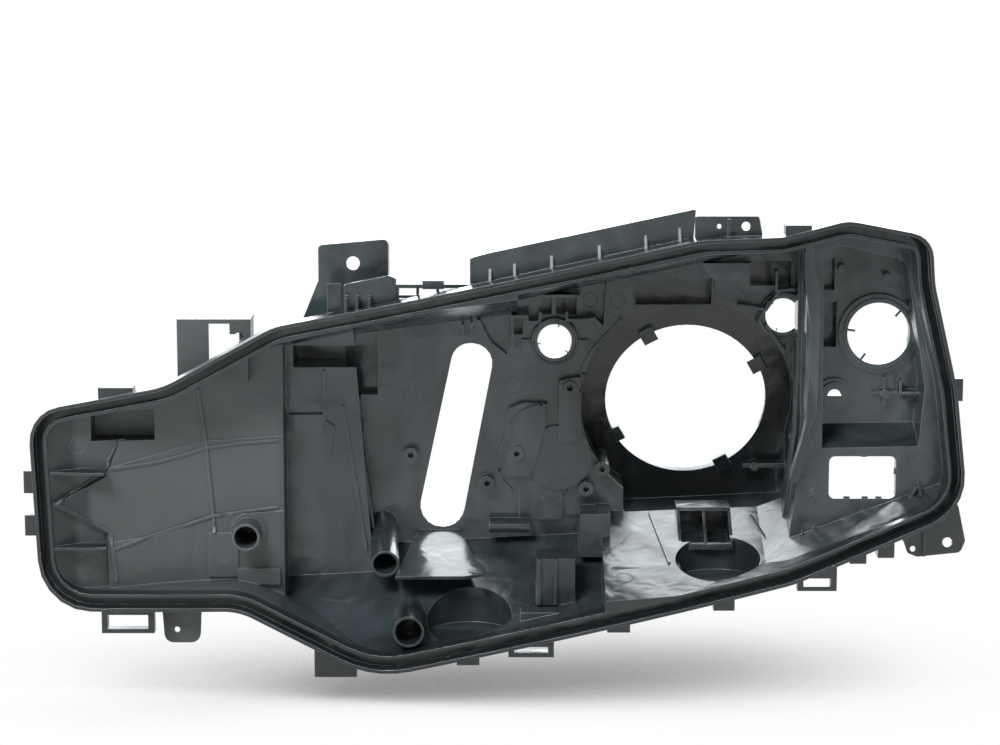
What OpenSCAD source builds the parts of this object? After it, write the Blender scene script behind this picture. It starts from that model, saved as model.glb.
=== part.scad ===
// Headlamp housing: the rear bucket of a car headlamp, moulded in one piece.
// X runs to the right as seen from the open front, Y into the depth, Z up.
// The origin is the centre of the main lamp port, on the rear face of its flange.

/* [Moulding] */
// Wall thickness of the bucket
wall = 2.5; // [2:0.1:3]
// Thickness of the stiffening ribs
rib = 1.8; // [1.4:0.1:2.4]
// Steps in each rounded corner of an outline
arc_steps = 5; // [3:1:8]

/* [Rim outline] */
// Left end of the rim, from the lamp port's axis
rim_left = 443; // [438:1:448]
// Right end of the rim
rim_right = 182; // [180:1:187]
// Highest point of the rim
rim_top = 140; // [138:1:144]
// Lowest corner of the rim
rim_low = 162; // [160:1:166]
// Radius of the bowed front, seen from above
bow_r = 1200; // [1100:50:1400]
// Place of the foremost point of the bow
bow_x = -120; // [-130:5:-110]
// Foremost point of the rim, before the lamp port
front_y = -150; // [-154:1:-148]

/* [Glue groove] */
// Thickness of the outer lip
lip_outer = 2.4; // [1.8:0.1:3]
// Width of the groove that takes the lens foot
groove_w = 6; // [5:0.1:6.5]
// Thickness of the inner lip
lip_inner = 2.1; // [1.8:0.1:2.6]
// Depth of the groove below the outer lip
groove_deep = 11; // [8:0.5:12]
// Step back of the inner lip behind the outer one
lip_step = 5; // [3:0.5:6]
// Depth of the rim band
rim_deep = 16; // [14:0.5:18]

/* [Chamber depths] */
// Depth level of the lobe and of the window face
floor_y = -84; // [-86:1:-82]
// Depth level of the narrow panel
panel_y = -56; // [-58:1:-54]
// Depth level of the turn lamp wall
turn_y = -50; // [-54:1:-48]
// Depth level of the main rear wall
back_y = -28; // [-31:1:-26]
// Radius of the lobe's curved floor
lobe_r = 290; // [270:10:320]
// Height of each step between the lobe's panels
panel_step = 1.2; // [0.8:0.1:1.6]
// Depth of the lobe's end facets below its band
facet_step = 3.6; // [2.5:0.1:4]

/* [Lamp port] */
// Radius of the main lamp port
port_r = 56; // [53:0.5:57]
// Tilt of the port's axis, rear end up
port_tilt = 14; // [12:1:15]
// Radius of the sunken ring round the port
ring_r = 74; // [72.5:0.5:75]
// Thickness of the port's flange
flange_t = 2.5; // [2:0.1:3]
// Length of the lip behind the flange, inside the collar
lip_len = 1.5; // [1:0.1:2.5]
// Length of the rear collar that takes the cap
collar_len = 11; // [8:0.5:14]
// Gap between the port and the rear collar
collar_gap = 4; // [3:0.1:6]
// Thickness of the rear collar
collar_wall = 3; // [2.5:0.1:4]
// Reach of each bayonet tab into the port
tab_in = 5.6; // [3:0.1:7]
// Width of each bayonet tab
tab_w = 10.5; // [8:0.5:14]
// Thickness of each bayonet tab
tab_t = 3; // [2:0.1:4]

/* [Other ports] */
// Radius of the turn lamp port
turn_r = 21.2; // [19:0.1:22]
// Wall round the turn lamp port
turn_wall = 5.8; // [4.5:0.1:6.2]
// Height of the ring before the turn lamp port
turn_ring = 4; // [3:0.5:7]
// Radius of the two small bulb ports
bulb_r = 11.8; // [10.5:0.1:12.4]
// Wall round the small bulb ports
bulb_wall = 4.6; // [3.6:0.1:5]
// Length of the collars behind the smaller ports
socket_len = 4; // [3:0.5:6]
// Width of the rectangular window
window_w = 45; // [42:1:47]
// Height of the rectangular window
window_h = 29; // [26:1:30]
// Radius of the window's corners
window_r = 4; // [2:0.5:6]
// Depth of the window's rear frame
window_deep = 8; // [6:0.5:11]

/* [Bosses and tubes] */
// Outer radius of a screw boss
boss_r = 5.2; // [4.6:0.1:5.8]
// Radius of its pilot hole
pilot_r = 2; // [1.6:0.1:2.5]
// Height of a screw boss
boss_h = 9; // [6:0.5:11]
// Radius of the lower tube's bore
drain_r = 8.8; // [7.5:0.1:9.3]
// Radius of the lobe tube's bore
vent_r = 7.7; // [6.5:0.1:8.3]
// Radius of the shelf tube's bore
duct_r = 8; // [7:0.1:8.6]
// Wall thickness of the tubes
tube_wall = 1.6; // [1.3:0.1:2.2]
// Radius of the round pad
disc_r = 22.7; // [21:0.1:24]
// Radius of the wells in the lower wall
well_r = 28.5; // [26:0.5:29]

/* [Brackets] */
// Thickness of the bracket plates
plate_t = 3; // [2.5:0.1:4]
// Radius of the upper bracket's bolt hole
bolt_r = 4.5; // [3.5:0.1:5]
// Radius of the side bracket's larger hole
side_r = 3.3; // [2.5:0.1:3.6]
// Radius of the top plate's larger hole
stay_r = 2.9; // [2.2:0.1:3.2]
// Radius of the small locating holes
peg_r = 1.9; // [1.4:0.1:2.2]

/* [Hidden] */
$fn = 48;
shade = [0.16, 0.17, 0.18];
rim_w = lip_outer + groove_w + lip_inner;
bow_fn = 360;
reach = 220;
past_left = -rim_left - 37;
// How far tabs and prongs reach into what carries them
root_in = 0.1;

// Corners of the rim's outer edge, anticlockwise from the left end, each [x, z, radius]
rim_corners = [
    [-rim_left, 9, 26],
    [6 - rim_left, -126, 34],
    [-302, -119, 40],
    [-213, -rim_low, 70],
    [64, -101, 80],
    [rim_right, -56.5, 34],
    [rim_right - 10, 26, 60],
    [rim_right - 27, rim_top - 44, 60],
    [rim_right - 29.5, rim_top - 12, 18],
    [96, rim_top, 30],
    [54, rim_top - 10, 40],
    [0, rim_top - 11, 60],
    [-276, 72, 50],
    [-350, 30, 60]
];
// Outlines of the chambers behind the rim, and the turn lamp chamber
middle_corners = [[-275, -150, 8], [66, -120, 8], [66, -77, 8], [75, -14, 30], [75, 118, 8],
                  [0, 118, 20], [-276, 66, 8]];
rear_corners = [[-214, -140, 8], [64, -115, 8], [64, -73, 8], [72, -14, 30], [72, 116, 8],
                [0, 116, 20], [-230, 70, 6]];
turn_corners = [[87, -28, 4], [rim_right - 42, -30, 6], [rim_right - 31, -28, 6],
                [rim_right - 27, 22, 20], [rim_right - 38, 88, 20], [rim_right - 41, 108, 8],
                [96, 118, 10], [86, 114, 6]];
// Sloping planes that close the chambers below, each [point, rise along x, rise along y, left end]
floor_planes = [
    [[-213, -136, -150], 0.05, 0.48, past_left],
    [[-30, -104, -97], 0.04, 0.3, -60],
    [[140, -116, -63], 0.377, 0.3, -60]
];
// Sloping planes that close them above, each [point, rise along x, rise along y]
roof_planes = [
    [[-209, -28, 52], 0.125, -0.23],
    [[0, -28, 97], 0.206, -0.185]
];

tray_x = [-8, 29];
tray_top = -69;
tray_low = -92;
turn_at = [rim_right - 55, 54];
stud_at = turn_at + [5, -41];
bulb_at = [[-92, 45], [64, 63]];
window_at = [92, -54];
window_right = window_at.x + window_w;
boss_at = [[-191, -34], [-138.5, -54], [-118, -33], [-59, -44], [-70, -58], [-81.5, 13]];
slot_corners = [[-160.5, 43.5, 13], [-188.5, -87, 15], [-156.5, -86, 15], [-132, 42, 14]];
tab_angles = [29, 119, 209, 299];
vent_at = [-299, -75];
drain_at = [-190, -133];
lobe_x = -318;
lobe_rise = 0.6;
lobe_bend = lobe_x - sqrt(2 * lobe_r * lobe_rise);
lobe_end = -275;
lobe_start = -rim_left - 17;

function unit(v) = v / norm(v);
function edge(c, i) = unit([c[(i + 1) % len(c)].x - c[i].x, c[(i + 1) % len(c)].y - c[i].y]);
function right_of(d) = [d.y, -d.x];
function before(c, i) = (i + len(c) - 1) % len(c);
function turned(v, a) = [v.x * cos(a) - v.y * sin(a), v.x * sin(a) + v.y * cos(a)];
function bow_y(x) = front_y + bow_r - sqrt(bow_r * bow_r - (x - bow_x) * (x - bow_x));
// Height of the rim's lower edge between its two lowest corners
function low_z(x) = -rim_low + (x + 213) * (rim_low - 101) / 277;
function lobe_y(x) = floor_y + lobe_rise - lobe_r + sqrt(lobe_r * lobe_r - (x - lobe_x) * (x - lobe_x));

// Corners of an outline moved outwards by t, or inwards where t is negative
function grown(c, t) = [
    for (i = [0 : len(c) - 1])
        let (d1 = edge(c, before(c, i)), d2 = edge(c, i))
        let (m = (right_of(d1) + right_of(d2)) / (1 + d1 * d2))
        let (side = cross(d1, d2) > 0 ? 1 : -1)
        [c[i].x + t * m.x, c[i].y + t * m.y, max(c[i][2] + side * t, 0.5)]
];

// Points of an outline with rounded corners, equally many at each corner
function rounded(c, steps) = [
    for (i = [0 : len(c) - 1])
        let (d1 = edge(c, before(c, i)), d2 = edge(c, i))
        let (side = cross(d1, d2) > 0 ? 1 : -1)
        let (turn = acos(min(max(d1 * d2, -1), 1)), r = c[i][2])
        let (start = [c[i].x, c[i].y] - d1 * r * tan(turn / 2))
        let (mid = start - right_of(d1) * r * side)
        for (k = [0 : steps])
            mid + turned(right_of(d1), side * turn * k / steps) * r * side
];

// A flat outline in X and Z, drawn out along Y from y0 to y1
module along_y(y0, y1) {
    translate([0, y1, 0])
        rotate([90, 0, 0])
            linear_extrude(y1 - y0)
                children();
}

module slab(corners, y0, y1, steps = arc_steps) {
    along_y(y0, y1)
        polygon(rounded(corners, steps));
}

module block(x, y, z) {
    translate([min(x), min(y), min(z)])
        cube([abs(x[1] - x[0]), abs(y[1] - y[0]), abs(z[1] - z[0])]);
}

module rod(at, y0, y1, r) {
    translate([at.x, y1, at.y])
        rotate([90, 0, 0])
            cylinder(h = y1 - y0, r = r);
}

// A rib of the given thickness along a path of [x, z] points
module fin(path, y0, y1, t = rib) {
    along_y(y0, y1)
        for (i = [0 : len(path) - 2]) {
            d = path[i + 1] - path[i];
            translate(path[i])
                rotate(atan2(d.y, d.x))
                    translate([-t / 2, -t / 2])
                        square([norm(d) + t, t]);
        }
}

// A triangular gusset in the plane of Y and Z
module gusset(x, y, z, dy, dz) {
    translate([x - rib / 2, y, z])
        rotate([90, 0, 90])
            linear_extrude(rib)
                polygon([[0, 0], [dy, 0], [dy, dz]]);
}

// Everything behind the bowed front, moved back by a
module behind_bow(a) {
    translate([bow_x, front_y + bow_r + a, -reach])
        cylinder(h = 2 * reach, r = bow_r, $fn = bow_fn);
}

// Everything before the lamp port's plane, moved along its axis by s
module before_port(s) {
    rotate([port_tilt, 0, 0])
        translate([-reach, s - reach, -reach])
            cube([2 * reach, reach, 2 * reach]);
}

// Half-space below a sloping plane, moved up by t
module below_plane(plane, t) {
    turn_y_axis = -atan(plane[1]);
    translate(plane[0] + [0, 0, t])
        rotate([atan(plane[2] * cos(turn_y_axis)), turn_y_axis, 0])
            translate([-2 * reach, -2 * reach, -4 * reach])
                cube(4 * reach);
}

// The chambers behind the rim, grown by t, between their sloping floors and roofs
module chambers(t) {
    difference() {
        union() {
            slab(grown(rim_corners, t - rim_w), front_y - 6, floor_y + t);
            slab(grown(middle_corners, t), floor_y - 1, panel_y + t, 2);
            slab(grown(rear_corners, t), panel_y - 1, back_y + t, 2);
        }
        for (p = floor_planes)
            intersection() {
                below_plane(p, -t);
                block([p[3] + t, reach], [-reach, reach / 2], [-reach, reach]);
            }
        difference() {
            block([past_left, -118 - t], [-reach, reach], [0, reach]);
            below_plane(roof_planes[0], t);
        }
        difference() {
            block([past_left, 78 - t], [-reach, reach], [0, reach]);
            below_plane(roof_planes[1], t);
        }
        if (t == 0)
            lobe_panels();
    }
    difference() {
        slab(grown(turn_corners, t), floor_y - 1, turn_y + t, 2);
        below_plane([[110, floor_y, -19], 0.02, 0.3], -t);
    }
}

// The sunken ring of the lamp port and the box above it
module recess(t) {
    intersection() {
        union() {
            rod([0, 0], back_y - 2, 40, ring_r + t);
            slab(grown([[-44, -77, 4], [72, -71, 6], [70, -10, 10], [-44, -20, 6]], t),
                 back_y - 2, 40);
            slab(grown([[-38, 40, 2], [20, 40, 2], [18, 89, 4], [-38, 89, 8]], t), back_y - 2, 10);
        }
        before_port(t > 0 ? 0 : -flange_t);
    }
}

// Deeper hollows in the rear walls, each [x range, z range, deepest y]
hollows = [
    [[-36, 16], [68.5, 87], -3],
    [[-270, -214], [31, 46], -20],
    [[-237, -214], [7, 40], -14],
    [[-101, -94], [63, 76], -12],
    [[-91, -77], [63, 77], -12],
    [[-120, -114], [49, 63], -14],
    [[42, 70], [83, 100], -8],
    [[88, 99], [44, 75], -30],
    [[88, 97], [83, 105], -38],
    [[-403, -361], [-13, 8], -70]
];

module hollow_boxes(t) {
    for (h = hollows)
        block([h[0][0] - t, h[0][1] + t], [h[2] - 40 + t, h[2] + t], [h[1][0] - t, h[1][1] + t]);
}

// Round wells sunk in the lower wall, each [x, y, lowest z]
wells = [[17, -96, -107], [-150, -104, -142]];

module well_rounds(t) {
    for (w = wells)
        translate([w.x, w.y, w.z - t])
            cylinder(h = 30 + t, r = well_r + t);
}

// Material behind the lobe's curved floor, within a zone of [x, z] points
module lobe_fill(shift, zone) {
    intersection() {
        translate([0, 0, -reach])
            linear_extrude(2 * reach)
                polygon(concat(
                    [for (x = [lobe_start : 8 : lobe_bend - 4]) [x, lobe_y(x) + shift]],
                    [[lobe_bend, floor_y + shift], [lobe_end, floor_y + shift]],
                    [[lobe_end, floor_y + 30], [lobe_start, floor_y + 30]]
                ));
        along_y(front_y, floor_y + 40)
            polygon(zone);
    }
}

module lobe_panels() {
    s = panel_step;
    lobe_fill(facet_step, [[-470, -170], [-270, -170], [-270, 90], [-470, 90]]);
    lobe_fill(-s / 2, [[-379, 0], [-392, -34], [-380, -60], [-260, -60], [-260, 95], [-370, 45]]);
    lobe_fill(-s * 3 / 2, [[-376, -27], [-393, -31.5], [-393, -36.5], [-428, -54], [-393, -74.5],
        [-393, -83], [-385, -100], [-262, -100], [-262, -10], [-328, -14]]);
    lobe_fill(-s * 5 / 2, [[-362, -79], [-393, -82], [-391, -150], [-262, -150], [-262, -61], [-324, -65]]);
}

// The rectangular window, grown by t
module window(t, y0, y1) {
    a = window_at;
    b = window_at + [window_w, window_h];
    slab(grown([[a.x, a.y, window_r], [b.x, a.y, window_r], [b.x, b.y, window_r], [a.x, b.y, window_r]], t),
         y0, y1, 4);
}

module bucket_outside() {
    difference() {
        intersection() {
            slab(rim_corners, front_y - 2, front_y + 70);
            behind_bow(0);
        }
        behind_bow(rim_deep);
    }
    difference() {
        intersection() {
            chambers(wall);
            behind_bow(rim_deep - 3);
        }
        translate([0, 0, -reach])
            linear_extrude(2 * reach)
                polygon(concat(
                    [for (x = [lobe_start : 8 : lobe_x - 6])
                        [x, lobe_y(x) + wall + (x < -366 ? facet_step : 0)]],
                    [[lobe_x - 6, 0], [lobe_start, 0]]
                ));
    }
    recess(wall);
    hollow_boxes(wall);
    well_rounds(wall);
    window(wall, floor_y + 0.8, floor_y + window_deep);
}

module bucket_inside() {
    chambers(0);
    recess(0);
    hollow_boxes(0);
    well_rounds(0);
}

// Groove for the lens foot, and the step down to the inner lip
module groove() {
    difference() {
        slab(grown(rim_corners, -lip_outer), front_y - 3, front_y + 60);
        slab(grown(rim_corners, -lip_outer - groove_w), front_y - 4, front_y + 61);
        behind_bow(groove_deep);
    }
    difference() {
        slab(grown(rim_corners, -lip_outer - groove_w / 2), front_y - 3, front_y + 60);
        behind_bow(lip_step);
    }
}

// Rear collar of the lamp port and its four bayonet tabs
module lamp_collar() {
    rotate([port_tilt, 0, 0]) {
        difference() {
            rod([0, 0], -flange_t / 2, collar_len, port_r + collar_gap + collar_wall);
            rod([0, 0], lip_len, collar_len + 1, port_r + collar_gap);
            rod([0, 0], -flange_t, collar_len + 1, port_r);
        }
        for (a = tab_angles)
            rotate([0, -a, 0])
                block([port_r - tab_in, port_r + 5], [-flange_t - tab_t, -flange_t + root_in],
                      [-tab_w / 2, tab_w / 2]);
    }
}

module bosses() {
    for (b = boss_at)
        rod(b, back_y - boss_h, back_y + 1, boss_r);
    rod(boss_at[3], back_y - boss_h, 10, boss_r);
    // Round pad, the plate left of it and the pad above
    rod([-89, -37], back_y - 3.5, back_y + 1, disc_r);
    slab([[-132, -37, 4], [-128, -49, 3], [-108, -50, 2], [-98, -14, 2], [-98, 2, 2], [-113, 2.5, 4],
          [-124, -2, 4], [-126, -20, 2]], back_y - 6, back_y + 1, 3);
    slab([[-89, -25, 2], [-74, -25, 2], [-74, 21, 2], [-89, 18, 2]], back_y - 7, back_y + 1, 3);
    slab([[-116, -81, 2], [-86, -81, 2], [-86, -55, 2], [-116, -48, 2]], back_y - 1.6, back_y + 1, 2);
    slab([[-84, -78, 2], [-64, -76, 2], [-62, -62, 3], [-74, -57, 3]], back_y - 3, back_y + 1, 2);
    // Stud and bar below the lamp port
    rod([49, -49], -4, 12, 3);
    block([41, 73], [0, 4], [-50.5, -47.5]);
    // Half disc under the upper wall
    difference() {
        rod([25, 104], back_y - 12, back_y + 1, 17);
        block([0, 50], [-60, 0], [100, 125]);
    }
    // Dome with a half-moon hole and the studs round the turn lamp port
    rod([98, 11], turn_y - 3, turn_y + 1, 12);
    rod([98, 11], turn_y - 5, turn_y + 1, 9.5);
    rod(stud_at, turn_y - 9, turn_y + 1, 3);
    rod([101, 99], turn_y - 8, turn_y + 1, 2.6);
    rod(turn_at + [5, 39], turn_y - 8, turn_y + 1, 2.6);
    fin([stud_at - [8, 0], stud_at + [8, 0]], turn_y - 5, turn_y + 1);
    fin([stud_at - [0, 8], stud_at + [0, 10]], turn_y - 5, turn_y + 1);
    fin([stud_at + [10, 9], stud_at + [10, 1], stud_at + [24, 1]], turn_y - 12, turn_y + 1);
}

module port_rings() {
    rod(turn_at, turn_y - turn_ring, turn_y + socket_len, turn_r + turn_wall);
    rod(turn_at, turn_y - turn_ring - 1.5, turn_y, turn_r + turn_wall / 2);
    for (b = bulb_at)
        rod(b, back_y - 5, back_y + socket_len, bulb_r + bulb_wall);
    // Outer crescent round the left bulb port
    difference() {
        rod(bulb_at[0], back_y - 4, back_y + 1, 22.8);
        block([-120, -60], [-60, 0], [46, 80]);
    }
}

// Thin walls on the rear faces, each [path, reach before the wall]
wall_fins = [
    [[[-121, 40], [-121, 64], [-111, 64], [-111, 60], [-103, 60], [-102, 66]], 16],
    [[[-84, 66], [-84, 61], [-74, 61], [-65, 62], [-60, 57]], 14],
    [[[-102, 78], [-76, 78]], 16],
    [[[-58, 57], [-56, 88]], 9],
    [[[34, 71], [52, 68], [61, 81], [70, 82]], 13],
    [[[59, 94], [59, 81]], 13],
    [[[47, 59], [54, 73]], 11],
    [[[53, 56], [66, 38]], 12],
    [[[-155, 56], [-155, 49]], 8],
    [[[-149, 58], [-149, 50]], 8],
    [[[-144, 59], [-136, 44], [-126, 36]], 7]
];

module ribs() {
    for (f = wall_fins)
        fin(f[0], back_y - f[1], back_y + 1);
    // Ridge between the middle chamber and the turn lamp chamber
    slab([[64, -42, 2], [70, -41, 2], [80, -14, 3], [77, -6, 3], [82, 6, 8], [83, 88, 6], [78, 106, 4],
          [78, 124, 2], [73, 124, 2], [72, 100, 4], [77, 62, 20], [75, 0, 8], [72, -14, 8]],
         floor_y - 8, floor_y + 2, 3);
    // Left side of the rear chamber
    fin([[-236, 4], [-221, -95]], panel_y - 2, panel_y + 14);
    fin([[-228, 2], [-215, -95]], panel_y + 8, back_y + 1);
    block([-273, -250], [panel_y - 4, panel_y + 1], [-13, -1]);
    fin([[-249, 28], [-249, -6], [-243, -10], [-246, -27]], panel_y - 3, panel_y + 1);
    // Lobe: block under the upper wall, raised panels and the two end ribs
    slab([[-322, 26, 1.5], [-297, 26, 1.5], [-297, 50, 2], [-322, 38, 2]], floor_y - 10, floor_y + 1, 2);
    block([-326, -306], [floor_y - 5, floor_y + 1], [-107, -77]);
    block([-306, -278], [floor_y - 7, floor_y + 1], [-112, -101]);
    fin([[-428, -32.5], [-393, -31.5]], -112, lobe_y(-393));
    fin([[-427, -84], [-393, -82]], -112, lobe_y(-393));
    // Window face
    gusset(window_right + 16, floor_y - 9, -50, 10, 9);
    fin([[window_right + 6, -60], [window_right + 13, -46]], floor_y - 5, floor_y + 1);
}

// A rib across the lower wall from one [x, y, z] point to another, h high
module slanting_rib(a, b, h) {
    run = norm([b.x - a.x, b.y - a.y]);
    translate(a)
        rotate([0, 0, atan2(b.y - a.y, b.x - a.x)])
            rotate([90, 0, 0])
                linear_extrude(rib)
                    polygon([[0, 0], [run, b.z - a.z], [run, b.z - a.z - h], [0, -h]]);
}

module lower_wall_parts() {
    // Shelf below the slot
    translate([0, back_y, -88.5])
        rotate([13.6, 0, 0])
            translate([0, 0, -2.4])
                linear_extrude(2.4)
                    polygon([[-186, 1], [-200, -70], [-153.5, -70], [-141, -66], [-158, 1]]);
    // Slanted box before the lamp port's lower edge
    translate([tray_x[0], 0, 0])
        rotate([90, 0, 90])
            linear_extrude(tray_x[1] - tray_x[0])
                polygon([[-44, tray_top], [back_y + 6, tray_top], [back_y + 6, tray_low], [-74, tray_low],
                         [-74, tray_low + 4]]);
    // Blocks along the lower wall
    slab([[-60, -124, 1], [-8, -112, 1], [-8, -97, 1], [-60, -97, 8]], -104, -62, 4);
    block([-116, -80], [-120, -104], [low_z(-98) + 2.7, low_z(-98) + 12.7]);
    block([-105, -79], [-100, -70], [-124, -92]);
    fin([[-103, -122], [-103, -93]], -103, -99);
    fin([[-92, -122], [-92, -93]], -103, -99);
    block([-137, -109], [-39, back_y + 1], [-87, -80]);
    translate([-137, -40, -83.5])
        rotate([0, 90, 0])
            cylinder(h = 28, r = 4.2);
    block([-75, -54], [-62, back_y + 1], [-100, -70]);
    // Slanting ribs before the lamp port
    slanting_rib([-25, -34, -74.5], [-15, -100, -94], 3.5);
    slanting_rib([44, -42, -74.5], [56, -88, -88], 3.5);
    slanting_rib([69, -60, -71.5], [76, -84, -76], 3.5);
    slanting_rib([80, -64, -68.8], [87, -101, -77.4], 3.5);
}

// Tubes through the walls, solid here and bored below
module tubes() {
    rod(vent_at, floor_y - 26, floor_y + 22, vent_r + tube_wall);
    rod(vent_at, floor_y - 6, floor_y + 1, vent_r + tube_wall + 2.4);
    rod(drain_at, -136, -70, drain_r + tube_wall);
    translate([-207, -90, -98])
        rotate([-78, 0, 3])
            cylinder(h = 72, r = duct_r + tube_wall);
}

module tube_bores() {
    rod(vent_at, floor_y - 27, floor_y + 20, vent_r);
    rod(drain_at, -137, -72, drain_r);
    translate([-207, -90, -98])
        rotate([-78, 0, 3])
            translate([0, 0, -1])
                cylinder(h = 64, r = duct_r);
}

module upper_brackets() {
    y = -95;
    // Bolted bracket
    slab([[-249.6, 50, 1], [-203.4, 55, 1], [-203.4, 123.6, 3], [-249.6, 119.6, 3]], y, y + plate_t, 3);
    for (x = [-249.6, -206.2])
        block([x, x + 2.8], [y, y + 22], [45, x < -240 ? 116 : 120]);
    slab([[-264, 50, 1], [-248, 50, 1], [-248, 100, 1], [-262, 66, 1]], y, y + 2.5, 2);
    // Small plates beside it
    slab([[-242, 60, 1], [-233, 60, 1], [-233, 98.6, 1], [-242, 98.6, 1]], -128, -125, 2);
    slab([[-231, 62, 1], [-197, 70, 1], [-197, 102, 1.5], [-202, 104, 1.5], [-231, 98, 1]], -128, -125, 2);
    for (x = [-229, -222, -214])
        block([x - rib / 2, x + rib / 2], [-140, -126], [70, 91]);
    // Double rail
    block([-198, -147], [-127, -118], [95.5, 98]);
    block([-198, -147], [-127, -122], [89, 91]);
    for (x = [-197, -184, -171, -158, -149])
        block([x, x + rib], [-127, -119], [70, 97]);
    block([-180, -166], [-128, -117], [95, 100.5]);
    // Wing along the upper edge
    slab([[-149, 75, 1], [-6, 100, 1], [-2.5, 147, 1], [-136.6, 118.3, 2], [-149, 115, 2]],
         -125, -125 + plate_t, 2);
    slab([[-149, 94.5, 0.6], [-7, 125.5, 0.6], [-7, 128, 0.6], [-149, 97, 0.6]], -142, -123, 2);
    for (x = [-136, -120, -96, -65, -35, -13])
        gusset(x, -134, 96 + (x + 149) * 0.218, 10, 10);
    // Plate with locating holes
    slab([[-3, 100, 1], [41, 100, 1], [41, 129, 1], [38.5, 142.5, 2], [-3, 142.5, 1]],
         -126, -126 + plate_t, 2);
    block([18, 20], [-130, -125], [110, 141]);
    // Frame bracket over the lobe
    difference() {
        union() {
            block([-344, -323], [y, y + plate_t], [12, 70]);
            block([-303, -295], [y, y + 24], [35, 70]);
            block([-344, -295], [y, y + 28], [67, 70]);
            block([-344, -341], [y, y + 28], [12, 70]);
            block([-309, -300], [y, y + plate_t], [60, 68]);
        }
        rod([-303, 58], y - 1, y + 4, 3);
    }
}

module lower_brackets() {
    // Tab below the lobe
    slab([[-357, -100, 1], [-354, -146.8, 6], [-330.5, -146.8, 6], [-328, -100, 1]], -111, -111 + plate_t, 4);
    // Side bracket
    r = rim_right;
    slab([[r - 41, -80, 2], [r - 38.5, -87.5, 3], [r - 32, -90, 2], [r - 3, -87, 4], [r, -79, 3],
          [r - 5, -56, 2], [r - 17, -30, 2], [r - 57, -60, 2]], -102, -102 + plate_t, 3);
    fin([[r - 28, -88], [r - 28, -62]], -106, -101);
    // Clip loops under the rim, each [x range, z range, step back from the front]
    for (c = [[[-395, -360], [-138, -125], 2], [[-124, -94], [low_z(-109) - 8, low_z(-109) - 0.5], 3],
              [[67, 93], [-106, -97], 1.2]]) {
        f = bow_y((c[0][0] + c[0][1]) / 2) + c[2];
        difference() {
            block(c[0], [f, f + 8], [c[1][0], c[1][1] + 8]);
            block(c[0] + [4, -4], [f - 1, f + 9], [c[1][0] + 3, c[1][1] - 0.5]);
        }
    }
    // Stops and small tabs along the edge, each [x range, z range, steps back from the front]
    l = -rim_left;
    for (b = [[[-252, -224], [-rim_low, 27 - rim_low], [2.2, 26.2]],
              [[-158, -143], [low_z(-150) - 3.8, low_z(-150) + 8.2], [0.6, 8.6]],
              [[-59, -44], [low_z(-52) - 3.7, low_z(-52) + 8.3], [1, 9]],
              [[11, 25], [low_z(18) - 5.9, low_z(18) + 6.1], [1, 11]],
              [[102, 113], [-89, -78], [2.2, 10.2]], [[121, 132], [-86, -66], [2.4, 16.4]],
              [[l - 4, l + 7], [-46, -31], [2.1, 12.1]], [[l - 4, l + 7], [-75, -61], [2.1, 12.1]],
              [[-394, -371], [12, 28], [2.9, 14.9]],
              [[55, 72], [rim_top - 18, rim_top - 2.5], [1.9, 13.9]],
              [[r - 14, r - 6], [18, 33], [1.9, 12.9]]]) {
        f = bow_y((b[0][0] + b[0][1]) / 2);
        block(b[0], [f + b[2][0], f + b[2][1]], b[1]);
    }
}

// Stiffening ribs on the hidden rear side
module rear_ribs() {
    for (x = [-398, -372, -346, -320])
        block([x, x + rib], [-104, floor_y + 8], [-98, 8]);
    for (z = [-60, -16])
        block([-398, -272], [-104, floor_y + 8], [z, z + rib]);
    for (x = [-252, -228])
        block([x, x + rib], [floor_y, panel_y + 12], [-98, 28]);
    block([-268, -206], [panel_y, panel_y + 14], [-40, -40 + rib]);
    for (x = [-205, -125])
        block([x, x + rib], [panel_y, back_y + 12], [-96, 48]);
    block([104, 104 + rib], [floor_y, turn_y + 12], [-24, 22]);
}

module holes() {
    for (b = boss_at)
        rod(b, back_y - boss_h - 1, back_y - 1, pilot_r);
    rod(turn_at, turn_y - 12, turn_y + socket_len + 4, turn_r);
    for (b = bulb_at)
        rod(b, back_y - 8, back_y + socket_len + 4, bulb_r);
    rotate([port_tilt, 0, 0])
        rod([0, 0], -flange_t - 3, collar_len + 2, port_r);
    slab(slot_corners, back_y - 12, back_y + 9);
    window(0, floor_y - 2, floor_y + window_deep + 1);
    difference() {
        rod([98, 11], turn_y - 8, turn_y + 6, 4.6);
        block([90, 106], [-70, -30], [0, 11]);
    }
    tube_bores();
    // Inside of the slanted box, on both sides of its middle rib
    for (x = [[tray_x[0] + rib, 9.5], [9.5 + rib, tray_x[1] - rib]])
        block(x, [-73, back_y + 6 - rib], [tray_low + rib, tray_top - rib]);
    // Bracket holes
    rod([-226.6, 107.6], -97, -90, bolt_r);
    rod([12.6, 136], -128, -120, 1.5);
    rod([30, 136], -128, -120, stay_r);
    rod([-345.7, -137.8], -113, -105, peg_r);
    rod([rim_right - 12, -80], -104, -96, side_r);
    rod([rim_right - 35, -84.5], -104, -96, peg_r);
}

// Three short prongs before the turn lamp port
module prongs() {
    for (a = [48, 172, 236])
        translate([turn_at.x, 0, turn_at.y])
            rotate([0, -a, 0])
                block([turn_r - 5, turn_r + 2],
                      [turn_y - turn_ring - 3, turn_y - turn_ring - 1.5 + root_in], [-0.8, 0.8]);
}

module housing() {
    color(shade) {
        difference() {
            union() {
                difference() {
                    union() {
                        bucket_outside();
                        upper_brackets();
                        lower_brackets();
                        rear_ribs();
                        tubes();
                    }
                    bucket_inside();
                }
                bosses();
                port_rings();
                ribs();
                lower_wall_parts();
                tubes();
            }
            groove();
            holes();
        }
        lamp_collar();
        prongs();
    }
}

housing();
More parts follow.
